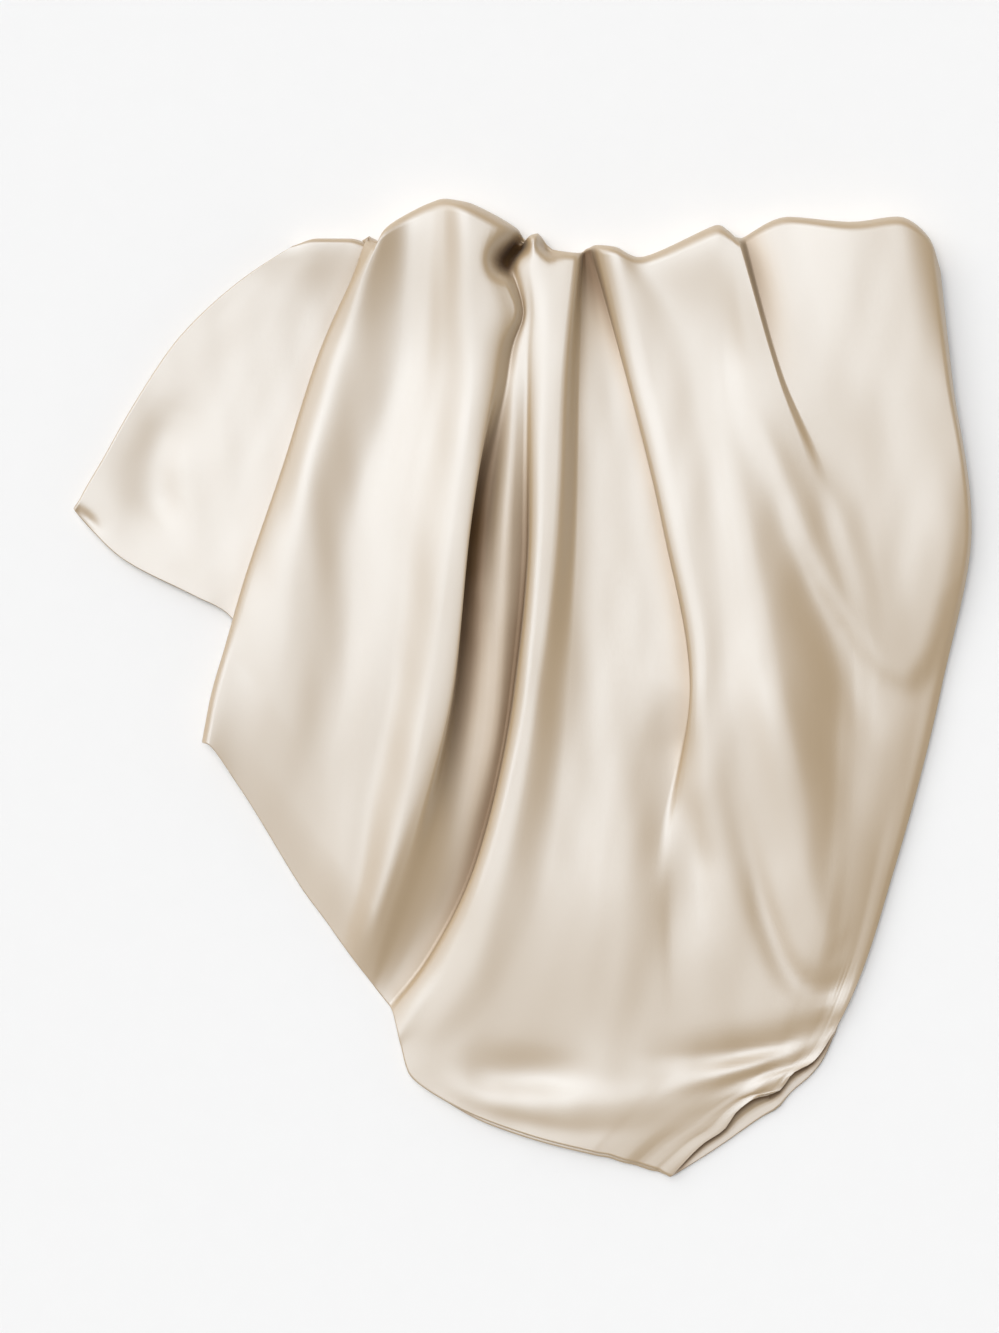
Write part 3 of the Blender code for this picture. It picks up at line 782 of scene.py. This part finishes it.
def layers(settings):
    """The outer and inner grids of the front and of the back cloth, in mm, with their flat places and
    painted shade.
    """
    thickness = settings.thickness / MM
    gap = settings.ply_gap / MM
    ply = 2 * thickness + gap
    face, across, along, main = cloth_face(settings.across_step / MM, settings.along_step / MM, ply)
    part, outward, past = open_seam(face, along)
    out = face_normals(face)
    front = (face, face - out * thickness)
    upper = face - out * (thickness + gap)
    under = face - out * ply
    spread = smooth_step(1 - np.arange(face.shape[0])[::-1] / SEAM_COLUMNS)[:, None]
    for sheet, height in ((upper, thickness + SEAM_LIE), (under, SEAM_LIE)):
        lie = np.zeros(len(along))
        lie[part] = smooth_step(past / SEAM_FLAT)
        sheet[:, part, :2] += (spread * past)[..., None] * outward
        sheet[..., 2] += (height - sheet[..., 2]) * lie * smooth_step(spread * 2.5)
        x = sheet[:, -1, 0]
        below = smooth_step((x - HEM_SHOWN_FROM) / HEM_SHOWN_RAMP)
        below *= smooth_step((FOLD_LINES[-1].hem[0] - x) / HEM_SHOWN_END)
        sheet[:, -2:, 1] -= (below * HEM_SHOWS)[:, None]
    for sheet, least in zip((front[1], upper, under), LEAST_HEIGHTS):
        sheet[..., 2] = np.maximum(sheet[..., 2], least)
    # Painted shade: how deep each place lies in its folds, and on the back cloth also the shade painted
    # where the front's edge overhangs it at the open seam.
    depth = fold_depth(face, along) * np.where(main, 1.0, SIDE_DEPTH)[:, None]
    shade = depth.copy()
    past_edge = (face[:, part, :2] - face[-1:, part, :2] + (spread * past)[..., None] * outward) @ outward
    close = np.exp(-(np.maximum(past_edge, 0) / SEAM_SHADE) ** 2) * smooth_step(past / 2.5) * (spread > 0)
    shade[:, part] = np.maximum(shade[:, part], SEAM_SHADE_DEPTH * close)
    flat = (across * settings.flat_width, along * settings.flat_length)
    return front, (upper, under), (*flat, depth), (*flat, shade)


def add_cloth(name, node, skin, grids, places):
    """Make one cloth from its two grids, give it the satin, hang it from the root body and hide the solid
    it stands for.
    """
    piece = closed_sheet(name, *grids, *places)
    piece.data.materials.append(skin)
    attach(piece, "root")
    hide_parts(node)


class PILLOWCASE_OT_front(bpy.types.Operator):
    """Make the front cloth."""

    bl_idname = "pillowcase.front"
    bl_label = "Front cloth"

    def execute(self, context):
        settings = context.scene.pillowcase_cloth
        front, _, places, _ = layers(settings)
        skin = satin(context.scene.pillowcase_satin)
        add_cloth("front_cloth", "front_panel", skin, front, places)
        return {"FINISHED"}


class PILLOWCASE_OT_back(bpy.types.Operator):
    """Make the back cloth, which lies under the front one."""

    bl_idname = "pillowcase.back"
    bl_label = "Back cloth"

    def execute(self, context):
        settings = context.scene.pillowcase_cloth
        _, back, _, places = layers(settings)
        skin = bpy.data.objects["front_cloth"].data.materials[0]
        add_cloth("back_cloth", "back_panel", skin, back, places)
        return {"FINISHED"}


class PILLOWCASE_OT_stage(bpy.types.Operator):
    """Set out the floor, the lights and the camera."""

    bl_idname = "pillowcase.stage"
    bl_label = "Floor, light and camera"

    def execute(self, context):
        settings = context.scene.pillowcase_stage
        scene = context.scene
        scene.view_settings.view_transform = "Standard"
        bpy.ops.mesh.primitive_plane_add(size=8.0, location=(0, 0, 0))
        floor = context.active_object
        floor.name = "floor"
        floor.data.transform(floor.matrix_world)
        for vertex in floor.data.vertices:
            vertex.co.z = -0.0004
        floor.data.materials.append(paper(settings))

        for name in ("key", "side"):
            light = bpy.data.lights.new(name, "SUN")
            light.energy = getattr(settings, name + "_strength")
            light.angle = getattr(settings, name + "_size")
            lamp = bpy.data.objects.new(name, light)
            left = math.tan(getattr(settings, name + "_lean_left"))
            up = math.tan(getattr(settings, name + "_lean_up"))
            lamp.rotation_euler = Vector((left, -up, -1.0)).to_track_quat("-Z", "Y").to_euler()
            scene.collection.objects.link(lamp)

        scene.world = studio_light(settings)

        view = bpy.data.cameras.new("camera")
        view.sensor_fit = "AUTO"
        view.sensor_width = 36.0
        view.lens = 36.0 * settings.camera_height / settings.view_length
        camera = bpy.data.objects.new("camera", view)
        camera.location = (settings.view_centre[0], settings.view_centre[1], settings.camera_height)
        scene.collection.objects.link(camera)
        scene.camera = camera
        return {"FINISHED"}


class PILLOWCASE_PT_panel(bpy.types.Panel):
    """The pillowcase's settings and steps."""

    bl_idname = "PILLOWCASE_PT_panel"
    bl_label = "Pillowcase"
    bl_space_type = "VIEW_3D"
    bl_region_type = "UI"
    bl_category = "Pillowcase"

    def draw(self, context):
        scene = context.scene
        for group in (scene.pillowcase_cloth, scene.pillowcase_satin, scene.pillowcase_stage):
            box = self.layout.box()
            for name in group.__annotations__:
                box.prop(group, name)
        for step in STEPS:
            self.layout.operator(step.bl_idname)


STEPS = (PILLOWCASE_OT_front, PILLOWCASE_OT_back, PILLOWCASE_OT_stage)
GROUPS = {"pillowcase_cloth": ClothSettings, "pillowcase_satin": SatinSettings,
          "pillowcase_stage": StageSettings}


def register():
    for group in GROUPS.values():
        bpy.utils.register_class(group)
    for step in (*STEPS, PILLOWCASE_PT_panel):
        bpy.utils.register_class(step)
    for name, group in GROUPS.items():
        setattr(bpy.types.Scene, name, bpy.props.PointerProperty(type=group))


def unregister():
    for name in GROUPS:
        delattr(bpy.types.Scene, name)
    for step in (*STEPS, PILLOWCASE_PT_panel):
        bpy.utils.unregister_class(step)
    for group in GROUPS.values():
        bpy.utils.unregister_class(group)


def main():
    register()
    bpy.ops.pillowcase.front()
    bpy.ops.pillowcase.back()
    bpy.ops.pillowcase.stage()
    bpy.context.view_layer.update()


if __name__ == "__main__":
    main()
